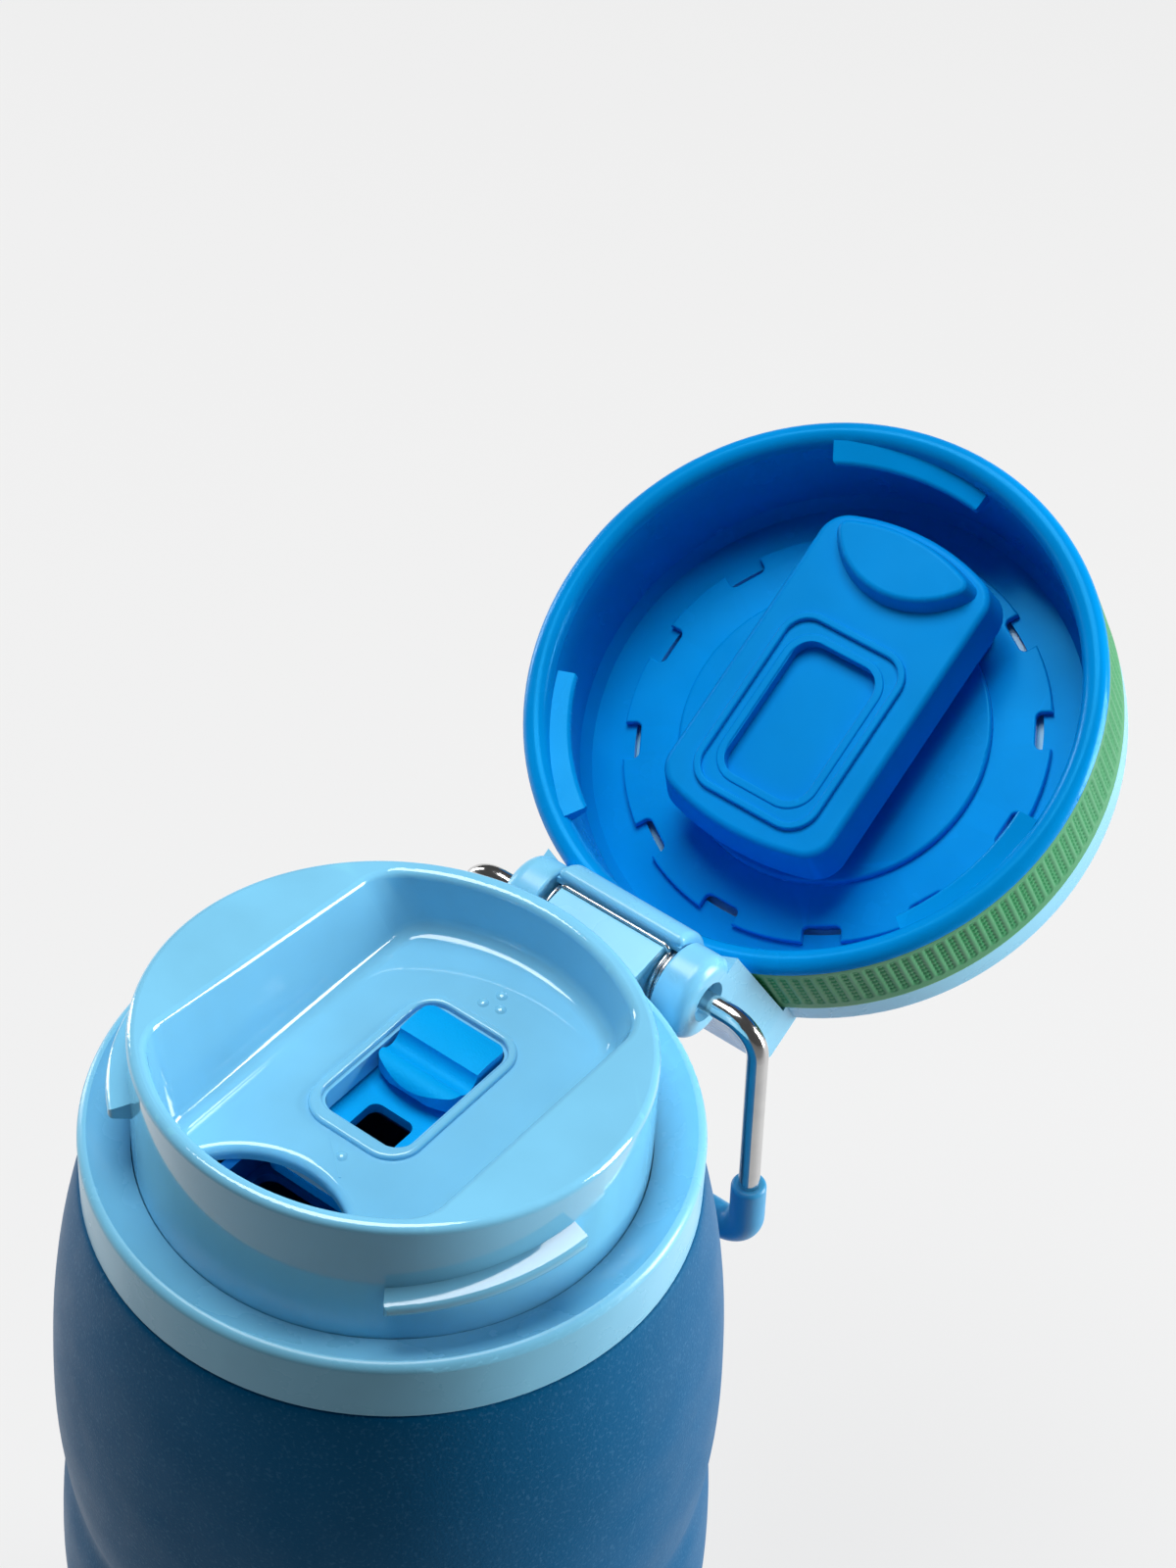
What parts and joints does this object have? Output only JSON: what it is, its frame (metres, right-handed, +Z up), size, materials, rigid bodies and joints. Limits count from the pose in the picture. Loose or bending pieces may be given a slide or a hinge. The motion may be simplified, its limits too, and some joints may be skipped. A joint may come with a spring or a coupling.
{
  "type": "collapsible water bottle",
  "caption": "Collapsible silicone travel bottle with a screw collar, a sliding sip lid, a sprung flip cap with a locking ring, and a wire carry bail.",
  "frame": {"origin": "centre of the flat base, on the surface the bottle stands on", "axes": "+Z up along the bottle, -Y towards the drinking side, +Y towards the hinge, X along the hinge pin"},
  "size_m": [0.0908, 0.1805, 0.1923],
  "materials": {
    "body_silicone": "matte fine-grained blue silicone",
    "neck_plastic": "smooth pale blue moulded plastic",
    "gasket_silicone": "translucent pale silicone",
    "collar_plastic": "satin light blue moulded plastic",
    "lid_gloss": "glossy light blue moulded plastic",
    "cap_blue": "semi-gloss bright blue moulded plastic",
    "slider_blue": "bright blue plastic with a fine spark-eroded texture",
    "tongue_silicone": "satin bright blue silicone",
    "band_green": "soft green overmould with rows of small bumps",
    "steel": "polished drawn stainless wire and tube",
    "spring_steel": "bright spring wire",
    "grip_plastic": "satin blue moulded sleeve"
  },
  "bodies": {
    "base": {"silicone_base": "body_silicone", "silicone_bellows": "body_silicone"},
    "neck": {"silicone_neck": "body_silicone", "neck_ring": "neck_plastic"},
    "gasket": {"neck_gasket": "gasket_silicone"},
    "collar": {"collar": "collar_plastic", "drinking_lid": "lid_gloss", "slider_tray": "cap_blue", "torsion_spring": "spring_steel"},
    "slider": {"slider": "slider_blue", "slider_seal": "gasket_silicone"},
    "lid": {"lid_frame": "collar_plastic", "retainer_plate": "cap_blue", "plug_hub": "cap_blue", "seal_tongue": "tongue_silicone", "hinge_tube": "steel"},
    "lock_ring": {"lock_ring": "cap_blue", "grip_band": "band_green"},
    "bail": {"bail_wire": "steel", "bail_grip": "grip_plastic"}
  },
  "joints": [
    {"name": "collapse", "type": "slide", "parent": "base", "child": "neck", "axis": [0, 0, -1], "range_m": [0, 0.062], "deforming": ["silicone_bellows"]},
    {"name": "collar_lift", "type": "slide", "parent": "neck", "child": "gasket", "axis": [0, 0, 1], "range_m": [0, 0.005]},
    {"name": "collar_unscrew", "type": "hinge", "parent": "gasket", "child": "collar", "pos_m": [0, 0, 0.15], "axis": [0, 0, 1], "range_deg": [0, 360]},
    {"name": "slider_slide", "type": "slide", "parent": "collar", "child": "slider", "axis": [0, -1, 0], "range_m": [0, 0.009]},
    {"name": "lid_hinge", "type": "hinge", "parent": "collar", "child": "lid", "pos_m": [0, 0.046, 0.1545], "axis": [-1, 0, 0], "range_deg": [-150, 0], "stiffness_Nm_per_rad": 0.01, "springref_deg": 22.92},
    {"name": "ring_turn", "type": "hinge", "parent": "lid", "child": "lock_ring", "pos_m": [0, 0.09359, 0.16408], "axis": [0, -0.5, 0.866], "range_deg": [0, 50]},
    {"name": "bail_swing", "type": "hinge", "parent": "collar", "child": "bail", "pos_m": [0, 0.046, 0.1545], "axis": [1, 0, 0], "range_deg": [0, 45]}
  ],
  "couplings": [
    {"joint": "collar_lift", "follows": "collar_unscrew", "m_per_rad": 0.00079577}
  ]
}
